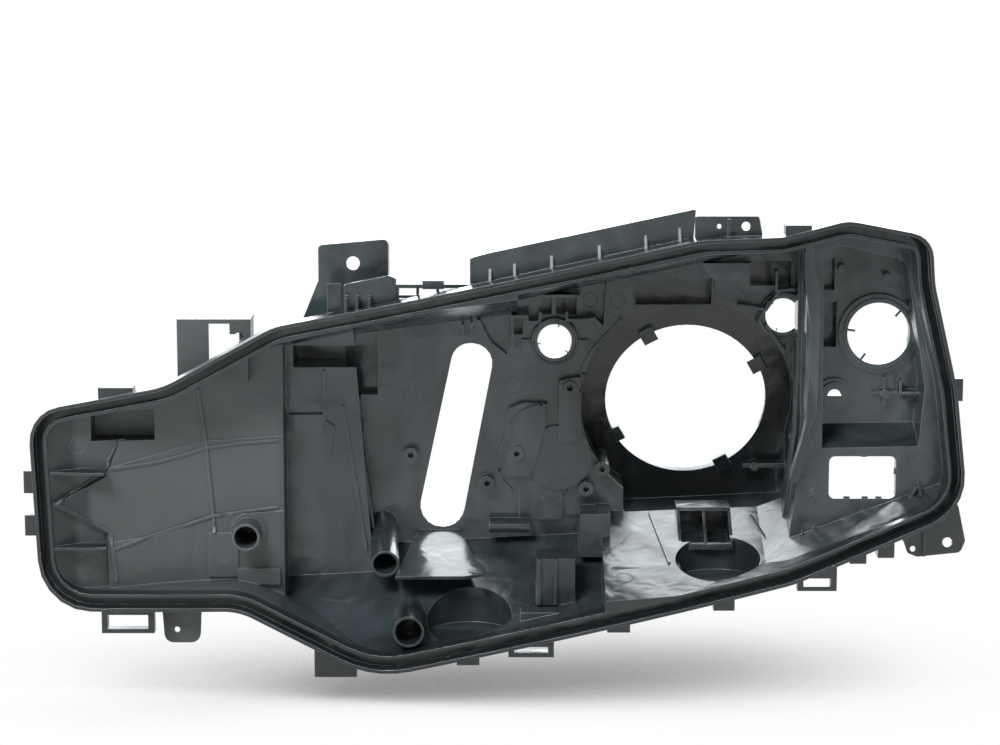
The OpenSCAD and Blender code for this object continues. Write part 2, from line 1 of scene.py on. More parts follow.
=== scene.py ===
"""Car headlamp housing, one black moulding, seen from its open front.

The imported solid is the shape. This script gives it its plastic, adds the small
moulded details that stand on its walls, and sets up the table, light and camera.
Places and sizes of the details are in millimetres, in the frame of the solid:
X to the right, Y into the depth, Z up. Materials and the studio are in metres.
"""
import logging
import math
from dataclasses import dataclass, field
from enum import Enum

import bmesh
import bpy
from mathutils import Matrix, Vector
from mathutils.bvhtree import BVHTree


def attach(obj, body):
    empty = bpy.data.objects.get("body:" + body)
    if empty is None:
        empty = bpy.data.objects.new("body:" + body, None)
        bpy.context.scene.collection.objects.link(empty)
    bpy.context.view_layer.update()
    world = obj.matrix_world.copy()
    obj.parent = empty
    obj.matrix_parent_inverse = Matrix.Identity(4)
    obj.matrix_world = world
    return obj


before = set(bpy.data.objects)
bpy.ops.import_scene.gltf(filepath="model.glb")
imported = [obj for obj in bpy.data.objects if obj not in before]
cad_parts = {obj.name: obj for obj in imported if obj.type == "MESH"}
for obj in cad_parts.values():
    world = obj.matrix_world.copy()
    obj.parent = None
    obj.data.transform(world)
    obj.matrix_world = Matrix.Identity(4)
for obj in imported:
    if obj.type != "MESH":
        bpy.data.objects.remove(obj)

logging.basicConfig(level=logging.INFO, format="%(name)s: %(message)s")
log = logging.getLogger("housing")

Place = tuple[float, float, float]
Path = tuple[Place, ...]
Ring = tuple[float, float, float, float]

BODY = "root"
NODE = "housing"
MM = 0.001
WELD = 0.001 * MM
DEPTH = Vector((0, 1, 0))


def linear(hex_colour: str) -> tuple[float, float, float, float]:
    """Changes an sRGB colour to the linear values that shaders use.

    Args:
        hex_colour: six hex digits after a #.

    Returns:
        A tuple (r, g, b, 1).
    """
    out = []
    for i in (1, 3, 5):
        c = int(hex_colour[i:i + 2], 16) / 255
        out.append(c / 12.92 if c <= 0.04045 else ((c + 0.055) / 1.055) ** 2.4)
    return (*out, 1.0)


def grey(level: float) -> tuple[float, float, float, float]:
    """Makes a linear grey of one level."""
    return (level, level, level, 1.0)


def add_node(tree: bpy.types.NodeTree, kind: str, settings: dict | None = None,
             values: dict | None = None, links: dict | None = None) -> bpy.types.Node:
    """Adds a node to a tree, sets it up and links its inputs.

    Args:
        tree: the node tree.
        kind: the node's type name.
        settings: attribute name to value.
        values: input name or index to a constant.
        links: input name or index to the output socket that feeds it.

    Returns:
        The new node.
    """
    node = tree.nodes.new(kind)
    for name, value in (settings or {}).items():
        setattr(node, name, value)
    for name, value in (values or {}).items():
        node.inputs[name].default_value = value
    for name, socket in (links or {}).items():
        tree.links.new(socket, node.inputs[name])
    return node


def remap(tree: bpy.types.NodeTree, socket: bpy.types.NodeSocket, low: float, high: float,
          to_low: float = 0.0, to_high: float = 1.0) -> bpy.types.NodeSocket:
    """Maps a value smoothly from one range to another.

    Args:
        tree: the node tree.
        socket: the value.
        low: start of its range.
        high: end of its range.
        to_low: result at the start.
        to_high: result at the end.

    Returns:
        The output socket.
    """
    node = add_node(tree, "ShaderNodeMapRange", {"interpolation_type": "SMOOTHSTEP"},
                    {"From Min": low, "From Max": high, "To Min": to_low, "To Max": to_high},
                    {"Value": socket})
    return node.outputs["Result"]


def maths(tree: bpy.types.NodeTree, operation: str,
          *terms: bpy.types.NodeSocket | float) -> bpy.types.NodeSocket:
    """Works out one operation on values.

    Args:
        tree: the node tree.
        operation: name of the Math node's operation.
        terms: sockets or numbers.

    Returns:
        The output socket.
    """
    node = add_node(tree, "ShaderNodeMath", {"operation": operation})
    for i, term in enumerate(terms):
        if isinstance(term, (int, float)):
            node.inputs[i].default_value = term
        else:
            tree.links.new(term, node.inputs[i])
    return node.outputs["Value"]


def distance(tree: bpy.types.NodeTree, a: bpy.types.NodeSocket,
             b: bpy.types.NodeSocket) -> bpy.types.NodeSocket:
    """Works out how far a point is from the origin of two directions.

    Args:
        tree: the node tree.
        a: the way along the first direction.
        b: the way along the second.

    Returns:
        The output socket.
    """
    squares = (maths(tree, "MULTIPLY", way, way) for way in (a, b))
    return maths(tree, "SQRT", maths(tree, "ADD", *squares))


def blend(tree: bpy.types.NodeTree, share: bpy.types.NodeSocket,
          a: bpy.types.NodeSocket | tuple, b: bpy.types.NodeSocket | tuple) -> bpy.types.NodeSocket:
    """Mixes two colours.

    Args:
        tree: the node tree.
        share: share of the second colour.
        a: first colour, a socket or a linear colour.
        b: second colour, a socket or a linear colour.

    Returns:
        The output socket.
    """
    node = add_node(tree, "ShaderNodeMix", {"data_type": "RGBA"}, links={0: share})
    for i, colour in ((6, a), (7, b)):
        if isinstance(colour, tuple):
            node.inputs[i].default_value = colour
        else:
            tree.links.new(colour, node.inputs[i])
    return node.outputs[2]


def seen_and_felt(tree: bpy.types.NodeTree, out: bpy.types.Node, felt: bpy.types.NodeSocket,
                  seen: bpy.types.NodeSocket) -> None:
    """Shows the camera one shader, and lights the scene with another.

    Args:
        tree: the node tree.
        out: its output node.
        felt: the shader that all other rays meet.
        seen: the shader that camera rays meet.
    """
    path = add_node(tree, "ShaderNodeLightPath")
    mix = add_node(tree, "ShaderNodeMixShader",
                   links={0: path.outputs["Is Camera Ray"], 1: felt, 2: seen})
    tree.links.new(mix.outputs["Shader"], out.inputs["Surface"])


@dataclass(frozen=True)
class MouldedPlastic:
    """Black polypropylene with talc, as lamp buckets are moulded from.

    The tool is spark-eroded where the lobe is, which leaves the plastic satin and
    paler. It is polished in the deep chambers so that they release, which makes
    them glossy; patches of sheen are painted on them. The rim and the seat round the
    main port keep the plain black pigment, which round the port is painted shade.
    Highlights are painted on the rounded edges.

    Args:
        name: the material's name.
        pigment: colour of the plastic in the mass.
        bloom: colour of the eroded faces, where talc has come to the surface.
        sheen: colour of the sheen painted in patches on the polished faces.
        edge_highlight: colour of the highlights painted on the rounded edges.
        dust: colour of specks of dust.
        ior: refractive index of polypropylene.
        satin: roughness of the eroded faces.
        polished: roughness of the polished faces.
        lobe_edge: where the eroded faces end, along X.
        lobe_fade: half the width of the change there.
        port: radius of the black seat round the main port, which is painted shade.
        port_fade: half the width of the change there.
        bow: X, Y and radius of the bowed front's arc, seen from above.
        rim: how far the black of the rim reaches behind the bow.
        rim_fade: half the width of the change there.
        patches: patches in a metre, 53 mm across and 111 mm high, that are glossier
            and carry the painted sheen.
        sheen_share: share of painted sheen between the patches and inside them.
        gloss: what is added to the roughness between the patches and inside them.
        sink: waves of shrinkage in a metre, 22 mm each.
        sink_depth: how deep the waves are.
        grain: grains of the tool in a metre, 0.5 mm each.
        grain_depth: how deep the grain is.
        grain_strength: how strongly the grain shows, on all faces alike.
        dust_cells: cells in a metre that may each hold a speck, 7.7 mm wide.
        dust_rare: share of the cells that hold none.
        speck: radius of a speck, in cells, which makes it 0.6 mm across.
        speck_fade: half the width of its soft border, in cells.
        speck_cover: how much of the plastic's colour a speck hides.
        edge: radius of the rounded edges.
        edge_match: how well the rounded normal agrees with the flat one where the painted
            highlight starts, and where it is full.
        edge_highlight_share: share of painted highlight between the patches and inside them.
    """

    name: str = "black_plastic"
    pigment: str = "#141719"
    bloom: str = "#35393a"
    sheen: str = "#30393c"
    edge_highlight: str = "#7d8688"
    dust: str = "#9aa0a0"
    ior: float = 1.5
    satin: float = 0.4
    polished: float = 0.2
    lobe_edge: float = -0.275
    lobe_fade: float = 0.006
    port: float = 0.082
    port_fade: float = 0.003
    bow: Place = (-0.12, 1.05, 1.2)
    rim: float = 0.017
    rim_fade: float = 0.002
    patches: Place = (19.0, 19.0, 9.0)
    sheen_share: tuple[float, float] = (0.1, 0.9)
    gloss: tuple[float, float] = (0.1, -0.04)
    sink: float = 46.0
    sink_depth: float = 1.3 * MM
    grain: float = 1900.0
    grain_depth: float = 0.05 * MM
    grain_strength: float = 0.12
    dust_cells: float = 130.0
    dust_rare: float = 0.985
    speck: float = 0.04
    speck_fade: float = 0.01
    speck_cover: float = 0.5
    edge: float = 0.7 * MM
    edge_match: tuple[float, float] = (0.97, 0.8)
    edge_highlight_share: tuple[float, float] = (0.25, 0.8)

    def build(self) -> bpy.types.Material:
        """Makes the material.

        Returns:
            The Blender material.
        """
        material = bpy.data.materials.new(self.name)
        material.use_nodes = True
        tree = material.node_tree
        tree.nodes.clear()
        out = add_node(tree, "ShaderNodeOutputMaterial")
        place = add_node(tree, "ShaderNodeTexCoord").outputs["Object"]
        parts = add_node(tree, "ShaderNodeSeparateXYZ", links={0: place})
        eroded = remap(tree, parts.outputs["X"], self.lobe_edge + self.lobe_fade,
                       self.lobe_edge - self.lobe_fade)
        drawn = add_node(tree, "ShaderNodeMapping", values={"Scale": self.patches},
                         links={"Vector": place})
        # About 0.3 between the patches and 0.7 inside them, where sheen is painted
        patches = add_node(tree, "ShaderNodeTexNoise",
                        values={"Scale": 1.0, "Detail": 3.0, "Roughness": 0.55,
                                "Distortion": 0.8},
                        links={"Vector": drawn.outputs["Vector"]}).outputs["Fac"]
        edge = add_node(tree, "ShaderNodeBevel", {"samples": 4},
                        {"Radius": self.edge}).outputs["Normal"]
        colour = self.talc(tree, parts, eroded, patches)
        colour = self.specks(tree, place, colour)
        colour = self.edge_highlights(tree, edge, patches, colour)
        # Two finishes of the tool, each glossier inside the patches
        rough = maths(tree, "ADD", remap(tree, eroded, 0.0, 1.0, self.polished, self.satin),
                      remap(tree, patches, 0.3, 0.7, *self.gloss))
        shader = add_node(tree, "ShaderNodeBsdfPrincipled",
                          values={"IOR": self.ior, "Metallic": 0.0},
                          links={"Base Color": colour, "Roughness": rough,
                                 "Normal": self.relief(tree, place, edge)})
        tree.links.new(shader.outputs["BSDF"], out.inputs["Surface"])
        return material

    def talc(self, tree: bpy.types.NodeTree, parts: bpy.types.Node,
             eroded: bpy.types.NodeSocket, patches: bpy.types.NodeSocket) -> bpy.types.NodeSocket:
        """Colours the mass: bloom all over the lobe, painted sheen in patches on the other
        faces, and only plain black on the rim and, as painted shade, round the main port.

        Args:
            tree: the node tree.
            parts: the place, split into X, Y and Z.
            eroded: 1 on an eroded face.
            patches: the patches of gloss and painted sheen.

        Returns:
            The colour.
        """
        x, y, radius = self.bow
        behind = distance(tree, maths(tree, "SUBTRACT", parts.outputs["X"], x),
                          maths(tree, "SUBTRACT", parts.outputs["Y"], y))
        rim = remap(tree, behind, radius - self.rim - self.rim_fade,
                    radius - self.rim + self.rim_fade)
        # Plain black round the main port, without the pale colour, is painted shade
        seat = remap(tree, distance(tree, parts.outputs["X"], parts.outputs["Z"]),
                     self.port + self.port_fade, self.port - self.port_fade)
        kept_black = maths(tree, "MAXIMUM", rim, seat)
        cloud = maths(tree, "MAXIMUM", remap(tree, patches, 0.3, 0.75, *self.sheen_share), eroded)
        # Share of the pale colour: painted sheen in patches on polished faces, bloom all over the
        # lobe
        talc = maths(tree, "MULTIPLY", cloud, maths(tree, "SUBTRACT", 1.0, kept_black))
        pale = blend(tree, eroded, linear(self.sheen), linear(self.bloom))
        return blend(tree, talc, linear(self.pigment), pale)

    def specks(self, tree: bpy.types.NodeTree, place: bpy.types.NodeSocket,
               colour: bpy.types.NodeSocket) -> bpy.types.NodeSocket:
        """Adds rare pale specks of dust.

        Args:
            tree: the node tree.
            place: Object coordinates.
            colour: the colour so far.

        Returns:
            The colour with the specks.
        """
        cells = add_node(tree, "ShaderNodeTexVoronoi",
                         values={"Scale": self.dust_cells, "Randomness": 1.0},
                         links={"Vector": place})
        chosen = add_node(tree, "ShaderNodeSeparateColor", links={0: cells.outputs["Color"]})
        spot = remap(tree, cells.outputs["Distance"], self.speck + self.speck_fade,
                     self.speck - self.speck_fade)
        speck = maths(tree, "MULTIPLY", spot,
                      maths(tree, "GREATER_THAN", chosen.outputs["Red"], self.dust_rare))
        cover = maths(tree, "MULTIPLY", speck, self.speck_cover)
        return blend(tree, cover, colour, linear(self.dust))

    def edge_highlights(self, tree: bpy.types.NodeTree, edge: bpy.types.NodeSocket,
             patches: bpy.types.NodeSocket, colour: bpy.types.NodeSocket) -> bpy.types.NodeSocket:
        """Paints pale highlights on the rounded edges, unevenly, stronger inside the patches.

        Args:
            tree: the node tree.
            edge: the normal with rounded edges.
            patches: the patches.
            colour: the colour so far.

        Returns:
            The colour with painted edge highlights.
        """
        flat = add_node(tree, "ShaderNodeNewGeometry").outputs["Normal"]
        match = add_node(tree, "ShaderNodeVectorMath", {"operation": "DOT_PRODUCT"},
                         links={0: edge, 1: flat}).outputs["Value"]
        # Painted highlight where the rounded normal turns from the flat one, in creases as on
        # ridges
        glint = maths(tree, "MULTIPLY", remap(tree, match, *self.edge_match),
                     remap(tree, patches, 0.3, 0.6, *self.edge_highlight_share))
        return blend(tree, glint, colour, linear(self.edge_highlight))

    def relief(self, tree: bpy.types.NodeTree, place: bpy.types.NodeSocket,
               edge: bpy.types.NodeSocket) -> bpy.types.NodeSocket:
        """Adds long waves of shrinkage and the tool's fine grain to the rounded edges.

        Args:
            tree: the node tree.
            place: Object coordinates.
            edge: the normal with rounded edges.

        Returns:
            The normal.
        """
        sink = add_node(tree, "ShaderNodeTexNoise",
                        values={"Scale": self.sink, "Detail": 2.0, "Roughness": 0.4,
                                "Distortion": 0.3},
                        links={"Vector": place}).outputs["Fac"]
        grain = add_node(tree, "ShaderNodeTexNoise", values={"Scale": self.grain, "Detail": 2.0},
                         links={"Vector": place}).outputs["Fac"]
        waves = add_node(tree, "ShaderNodeBump",
                         values={"Strength": 1.0, "Distance": self.sink_depth},
                         links={"Height": sink, "Normal": edge})
        bump = add_node(tree, "ShaderNodeBump",
                        values={"Strength": self.grain_strength, "Distance": self.grain_depth},
                        links={"Height": grain, "Normal": waves.outputs["Normal"]})
        return bump.outputs["Normal"]


@dataclass
class Bucket:
    """The moulded bucket, as packed.

    Args:
        plastic: the finish of the whole moulding.
    """

    plastic: MouldedPlastic = field(default_factory=MouldedPlastic)

    def dress(self) -> bpy.types.Object:
        """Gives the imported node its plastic.

        Returns:
            The node's object.
        """
        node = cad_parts[NODE]
        node.data.materials.clear()
        node.data.materials.append(self.plastic.build())
        log.info("bucket: %d faces", len(node.data.polygons))
        return node


class Walls:
    """The bucket's own faces, which the small details stand on."""

    def __init__(self, node: bpy.types.Object) -> None:
        """Reads the faces once.

        Args:
            node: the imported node's object.
        """
        mesh = node.data
        self.tree = BVHTree.FromPolygons([v.co for v in mesh.vertices],
                                         [tuple(p.vertices) for p in mesh.polygons])

    def seat(self, place: Place | Vector) -> tuple[Vector, Vector]:
        """Finds the face that a detail stands on.

        Args:
            place: a point close to the face, in millimetres.

        Returns:
            The nearest point on the bucket in metres, and the outward normal there.
        """
        point, normal, _, _ = self.tree.find_nearest(Vector(place) * MM)
        return point, normal

    def behind(self, place: Place | Vector, reach: float = 12.0) -> Vector:
        """Finds the wall behind a point, looking into the depth.

        Args:
            place: a point close to the wall, in millimetres.
            reach: how far before and behind the point the wall may be.

        Returns:
            The point on the wall, in metres.
        """
        start = (Vector(place) - DEPTH * reach) * MM
        point, _, _, _ = self.tree.ray_cast(start, DEPTH, 2 * reach * MM)
        return point if point is not None else self.seat(place)[0]


class FormTree:
    """A Geometry Nodes tree with named sizes that ends in a plain mesh."""

    def __init__(self, name: str) -> None:
        """Starts the tree with its geometry input and output.

        Args:
            name: the tree's name.
        """
        self.tree = bpy.data.node_groups.new(name, "GeometryNodeTree")
        for way in ("INPUT", "OUTPUT"):
            self.tree.interface.new_socket(name="Geometry", in_out=way,
                                           socket_type="NodeSocketGeometry")
        self.start = self.tree.nodes.new("NodeGroupInput")
        self.keys: dict[str, str] = {}

    def size(self, name: str) -> bpy.types.NodeSocket:
        """Adds a named size.

        Args:
            name: the size's name.

        Returns:
            The socket that carries it.
        """
        socket = self.tree.interface.new_socket(name=name, in_out="INPUT",
                                                socket_type="NodeSocketFloat")
        self.keys[name] = socket.identifier
        return self.start.outputs[name]

    def add(self, kind: str, settings: dict | None = None, values: dict | None = None,
            links: dict | None = None) -> bpy.types.Node:
        """Adds a node to this tree, as add_node does."""
        return add_node(self.tree, kind, settings, values, links)

    def attribute(self, name: str, kind: str) -> bpy.types.NodeSocket:
        """Reads a named attribute of the points.

        Args:
            name: the attribute's name.
            kind: FLOAT or FLOAT_VECTOR.

        Returns:
            The socket that carries it.
        """
        node = self.add("GeometryNodeInputNamedAttribute", {"data_type": kind}, {"Name": name})
        return node.outputs["Attribute"]

    def close(self, last: bpy.types.NodeSocket, material: bpy.types.Material) -> None:
        """Realizes the instances, sets the material and ends the tree.

        Args:
            last: the geometry so far.
            material: the plastic.
        """
        real = self.add("GeometryNodeRealizeInstances", links={"Geometry": last})
        shade = self.add("GeometryNodeSetShadeSmooth", values={"Shade Smooth": False},
                         links={"Geometry": real.outputs["Geometry"]})
        dressed = self.add("GeometryNodeSetMaterial", values={"Material": material},
                           links={"Geometry": shade.outputs["Geometry"]})
        end = self.tree.nodes.new("NodeGroupOutput")
        self.tree.links.new(dressed.outputs["Geometry"], end.inputs["Geometry"])

    def grow(self, name: str, seed: bpy.types.Mesh, sizes: dict[str, float]) -> bpy.types.Object:
        """Runs the tree on a mesh of points or paths and keeps the result as a plain mesh.

        Args:
            name: the finished piece's name.
            seed: the mesh of points or paths.
            sizes: a value for each named size, lengths in metres.

        Returns:
            The finished object, riding on the body.
        """
        holder = bpy.data.objects.new(name + "_seed", seed)
        bpy.context.scene.collection.objects.link(holder)
        modifier = holder.modifiers.new("form", "NODES")
        modifier.node_group = self.tree
        for key, value in sizes.items():
            modifier[self.keys[key]] = value
        bpy.context.view_layer.update()
        evaluated = holder.evaluated_get(bpy.context.evaluated_depsgraph_get())
        mesh = bpy.data.meshes.new_from_object(evaluated)
        holder.modifiers.remove(modifier)
        bpy.data.objects.remove(holder)
        shell = bmesh.new()
        shell.from_mesh(mesh)
        bmesh.ops.remove_doubles(shell, verts=shell.verts, dist=WELD)
        bmesh.ops.recalc_face_normals(shell, faces=shell.faces)
        shell.to_mesh(mesh)
        shell.free()
        piece = bpy.data.objects.new(name, mesh)
        bpy.context.scene.collection.objects.link(piece)
        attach(piece, BODY)
        log.info("%s: %d faces", name, len(mesh.polygons))
        return piece


def points_mesh(name: str, places: list[Vector], **attributes: list) -> bpy.types.Mesh:
    """Makes a mesh of loose points with attributes.

    Args:
        name: the mesh's name.
        places: the points in metres.
        attributes: for each name, one number or one vector a point.

    Returns:
        The mesh.
    """
    mesh = bpy.data.meshes.new(name)
    mesh.from_pydata([tuple(p) for p in places], [], [])
    for key, values in attributes.items():
        if isinstance(values[0], (int, float)):
            mesh.attributes.new(key, "FLOAT", "POINT").data.foreach_set("value", values)
        else:
            flat = [c for v in values for c in v]
            mesh.attributes.new(key, "FLOAT_VECTOR", "POINT").data.foreach_set("vector", flat)
    return mesh


def paths_mesh(name: str, paths: list[list[Place]]) -> bpy.types.Mesh:
    """Makes a mesh of separate paths.

    Args:
        name: the mesh's name.
        paths: lists of points in metres.

    Returns:
        The mesh.
    """
    points, edges = [], []
    for path in paths:
        edges += [(len(points) + i, len(points) + i + 1) for i in range(len(path) - 1)]
        points += path
    mesh = bpy.data.meshes.new(name)
    mesh.from_pydata(points, edges, [])
    return mesh


@dataclass
class RoundLines:
    """Raised round lines: witnesses of ejector pins, or lips round ports.

    Args:
        name: the piece's name.
        plastic: the finish.
        rings: x, y, z and radius of each ring.
        line: radius of the raised line, half of it above the wall.
        open_middle: whether the rings run round holes.
        corners_round: points on a ring.
        corners_across: points on the line's section.
    """

    name: str
    plastic: bpy.types.Material
    rings: tuple[Ring, ...]
    line: float
    open_middle: bool = False
    corners_round: int = 40
    corners_across: int = 6

    def tree(self) -> FormTree:
        """Makes the tree: a ring on each point, turned to its wall.

        Returns:
            The tree.
        """
        form = FormTree(self.name)
        line = form.size("Line")
        ring = form.add("GeometryNodeCurvePrimitiveCircle",
                        values={"Resolution": self.corners_round, "Radius": 1.0})
        profile = form.add("GeometryNodeCurvePrimitiveCircle",
                           values={"Resolution": self.corners_across}, links={"Radius": line})
        turn = form.add("FunctionNodeAlignRotationToVector", {"axis": "Z"},
                        links={"Vector": form.attribute("normal", "FLOAT_VECTOR")})
        spread = form.add("GeometryNodeInstanceOnPoints",
                          links={"Points": form.start.outputs["Geometry"],
                                 "Instance": ring.outputs["Curve"],
                                 "Rotation": turn.outputs["Rotation"],
                                 "Scale": form.attribute("radius", "FLOAT")})
        real = form.add("GeometryNodeRealizeInstances",
                        links={"Geometry": spread.outputs["Instances"]})
        drawn = form.add("GeometryNodeCurveToMesh",
                         links={"Curve": real.outputs["Geometry"],
                                "Profile Curve": profile.outputs["Curve"]})
        form.close(drawn.outputs["Mesh"], self.plastic)
        return form

    def build(self, walls: Walls) -> bpy.types.Object:
        """Puts the rings on the walls.

        Args:
            walls: the bucket's faces.

        Returns:
            The finished object.
        """
        middles, normals = [], []
        for x, y, z, radius in self.rings:
            # Over a hole, the wall is looked for where the ring runs
            aside = radius if self.open_middle else 0.0
            point, normal = walls.seat((x + aside, y, z))
            middles.append(point - Vector((aside, 0, 0)) * MM)
            normals.append(normal)
        seed = points_mesh(self.name, middles, radius=[ring[3] * MM for ring in self.rings],
                           normal=normals)
        return self.tree().grow(self.name, seed, {"Line": self.line * MM})


@dataclass
class ThinWalls:
    """Low upright walls that follow paths on the bucket's walls.

    Args:
        name: the piece's name.
        plastic: the finish.
        paths: lists of points near the wall, joined by straight runs.
        front: thickness at the front.
        foot: thickness at the wall.
        height: how tall the section is.
        sunk: how much of the height is in the wall.
        step: longest run between two points that are set on the wall.
    """

    name: str
    plastic: bpy.types.Material
    paths: tuple[Path, ...]
    front: float
    foot: float
    height: float
    sunk: float = 0.4
    step: float = 5.0

    def tree(self) -> FormTree:
        """Makes the tree: a tapered profile drawn along each path.

        The paths lie in local X and Y with their height along local Z, and are
        turned by a right angle so that the height points to the open front. The
        profile's lower edge comes to lie at the front.

        Returns:
            The tree.
        """
        form = FormTree(self.name)
        front, foot, height = (form.size(n) for n in ("Front", "Foot", "Height"))
        profile = form.add("GeometryNodeCurvePrimitiveQuadrilateral", {"mode": "TRAPEZOID"},
                           {"Offset": 0.0},
                           {"Bottom Width": front, "Top Width": foot, "Height": height})
        path = form.add("GeometryNodeMeshToCurve", links={"Mesh": form.start.outputs["Geometry"]})
        upright = form.add("GeometryNodeSetCurveNormal", {"mode": "Z_UP"},
                           links={"Curve": path.outputs["Curve"]})
        drawn = form.add("GeometryNodeCurveToMesh", values={"Fill Caps": True},
                         links={"Curve": upright.outputs["Curve"],
                                "Profile Curve": profile.outputs["Curve"]})
        turned = form.add("GeometryNodeTransform", values={"Rotation": (math.pi / 2, 0, 0)},
                          links={"Geometry": drawn.outputs["Mesh"]})
        form.close(turned.outputs["Geometry"], self.plastic)
        return form

    def run(self, path: Path, walls: Walls) -> list[Place]:
        """Sets one path on the wall behind it.

        Args:
            path: its points in millimetres.
            walls: the bucket's faces.

        Returns:
            The middles of the profile in metres, in the tree's local axes.
        """
        spots = []
        for one, two in zip(path, path[1:]):
            start, way = Vector(one), Vector(two) - Vector(one)
            count = max(1, math.ceil(way.length / self.step))
            spots += [start + way * i / count for i in range(count)]
        spots.append(Vector(path[-1]))
        lift = (self.height / 2 - self.sunk) * MM
        return [(p.x, p.z, -p.y + lift) for p in map(walls.behind, spots)]

    def build(self, walls: Walls) -> bpy.types.Object:
        """Sets the paths on the walls and draws the profile along them.

        Args:
            walls: the bucket's faces.

        Returns:
            The finished object.
        """
        seed = paths_mesh(self.name, [self.run(path, walls) for path in self.paths])
        return self.tree().grow(self.name, seed, {"Front": self.front * MM, "Foot": self.foot * MM,
                                                  "Height": self.height * MM})


class NibForm(Enum):
    """Section of a nib, with the number of its sides."""

    BLOCK = 4
    PEG = 12


@dataclass(frozen=True)
class Nib:
    """One small tapered nib.

    Args:
        place: middle of its foot.
        size: its width, its height and how far it stands out.
        turn: degrees about Y.
    """

    place: Place
    size: Place
    turn: float = 0.0


@dataclass
class Nibs:
    """Small tapered nibs of one form: pegs, ribs or tabs.

    Args:
        name: the piece's name.
        plastic: the finish.
        nibs: the nibs.
        form: their section.
        taper: share of the width that is left at the top.
    """

    name: str
    plastic: bpy.types.Material
    nibs: tuple[Nib, ...]
    form: NibForm = NibForm.BLOCK
    taper: float = 0.75

    def tree(self) -> FormTree:
        """Makes the tree: a tapered nib on each point, standing towards the open front.

        Returns:
            The tree.
        """
        form = FormTree(self.name)
        taper = form.size("Taper")
        # Radius that makes the section one unit wide: over the flats of a block
        sides = self.form.value
        across = 1 / math.sqrt(2) if self.form is NibForm.BLOCK else 0.5
        top = form.add("ShaderNodeMath", {"operation": "MULTIPLY"}, {1: across}, {0: taper})
        cone = form.add("GeometryNodeMeshCone",
                        values={"Vertices": sides, "Radius Bottom": across, "Depth": 1.0},
                        links={"Radius Top": top.outputs["Value"]})
        squared = form.add("GeometryNodeTransform", values={"Rotation": (0, 0, math.pi / sides)},
                           links={"Geometry": cone.outputs["Mesh"]})
        out = form.add("FunctionNodeAxisAngleToRotation",
                       values={"Axis": (1, 0, 0), "Angle": math.pi / 2})
        turn = form.add("FunctionNodeAxisAngleToRotation", values={"Axis": (0, 1, 0)},
                        links={"Angle": form.attribute("turn", "FLOAT")})
        both = form.add("FunctionNodeRotateRotation", {"rotation_space": "GLOBAL"},
                        links={"Rotation": out.outputs["Rotation"],
                               "Rotate By": turn.outputs["Rotation"]})
        spread = form.add("GeometryNodeInstanceOnPoints",
                          links={"Points": form.start.outputs["Geometry"],
                                 "Instance": squared.outputs["Geometry"],
                                 "Rotation": both.outputs["Rotation"],
                                 "Scale": form.attribute("size", "FLOAT_VECTOR")})
        form.close(spread.outputs["Instances"], self.plastic)
        return form

    def build(self) -> bpy.types.Object:
        """Puts the nibs in place.

        Returns:
            The finished object.
        """
        seed = points_mesh(self.name, [Vector(nib.place) * MM for nib in self.nibs],
                           turn=[math.radians(nib.turn) for nib in self.nibs],
                           size=[Vector(nib.size) * MM for nib in self.nibs])
        return self.tree().grow(self.name, seed, {"Taper": self.taper})


@dataclass
class EjectorPins:
    """Marks where the tool's pins pushed the moulding out.

    Args:
        marks: x, y, z and radius of each.
        line: radius of the witness line.
    """

    marks: tuple[Ring, ...] = (
        (138.2, -84, 111.8, 4.4), (70.7, -28, 40.2, 4.5), (148.2, -84, -24.5, 4.8),
        (77.7, -84, -43.4, 5.3), (150.6, -50, 9.5, 3.5), (-48.6, -28, 72.2, 4.9),
        (-67.8, -28, 72.9, 5), (-120.1, -28, 13.6, 5.6), (-96.2, -29.6, -71.5, 7),
        (-87.9, -29.6, -60.1, 5), (-258.2, -56, -67.6, 5.5), (-291.9, -84.6, 11.3, 6.2),
        (-411.4, -95.3, -15.6, 5.5), (-406.4, -93.6, -99.1, 7.5), (-316.7, -89, -91.7, 6),
        (-46.9, -115.7, -101.2, 6))
    line: float = 0.28

    def build(self, plastic: bpy.types.Material, walls: Walls) -> None:
        """Draws the marks on the walls."""
        RoundLines("ejector_marks", plastic, self.marks, self.line).build(walls)


@dataclass
class LampPorts:
    """Lips round the two bulb ports, and short ribs in them and in the turn lamp's port.

    Args:
        lips: x, y, z and radius of each lip.
        lip_line: radius of a lip's round section.
        ribbed: for each port its middle, the radius of its ribs and their angles,
            in degrees from X towards Z.
        rib_size: length, width and height of a rib.
        sunk: how much of a rib's height is in the ring.
    """

    lips: tuple[Ring, ...] = ((-92, -33, 45, 15.4), (64, -33, 63, 15.4))
    lip_line: float = 1.0
    ribbed: tuple[tuple[Place, float, tuple[float, ...]], ...] = (
        ((127, -54, 54), 24.5, (97, 83, 263, 277, -31, -19)),
        ((-92, -31, 45), 11.4, (75, 190, 318)),
        ((64, -31, 63), 11.4, (130, 250, 330)))
    rib_size: Place = (3.4, 1.0, 1.1)
    sunk: float = 0.3

    def build_lips(self, plastic: bpy.types.Material, walls: Walls) -> None:
        """Draws the lips on the ports' rings."""
        RoundLines("port_lips", plastic, self.lips, self.lip_line, open_middle=True).build(walls)

    def build_ribs(self, plastic: bpy.types.Material) -> None:
        """Sets short radial ribs on the ports' rings.

        Args:
            plastic: the finish.
        """
        ribs = []
        for (x, y, z), radius, angles in self.ribbed:
            for angle in angles:
                a = math.radians(angle)
                foot = (x + radius * math.cos(a), y + self.sunk, z + radius * math.sin(a))
                ribs.append(Nib(foot, self.rib_size, -angle))
        Nibs("port_ticks", plastic, tuple(ribs)).build()


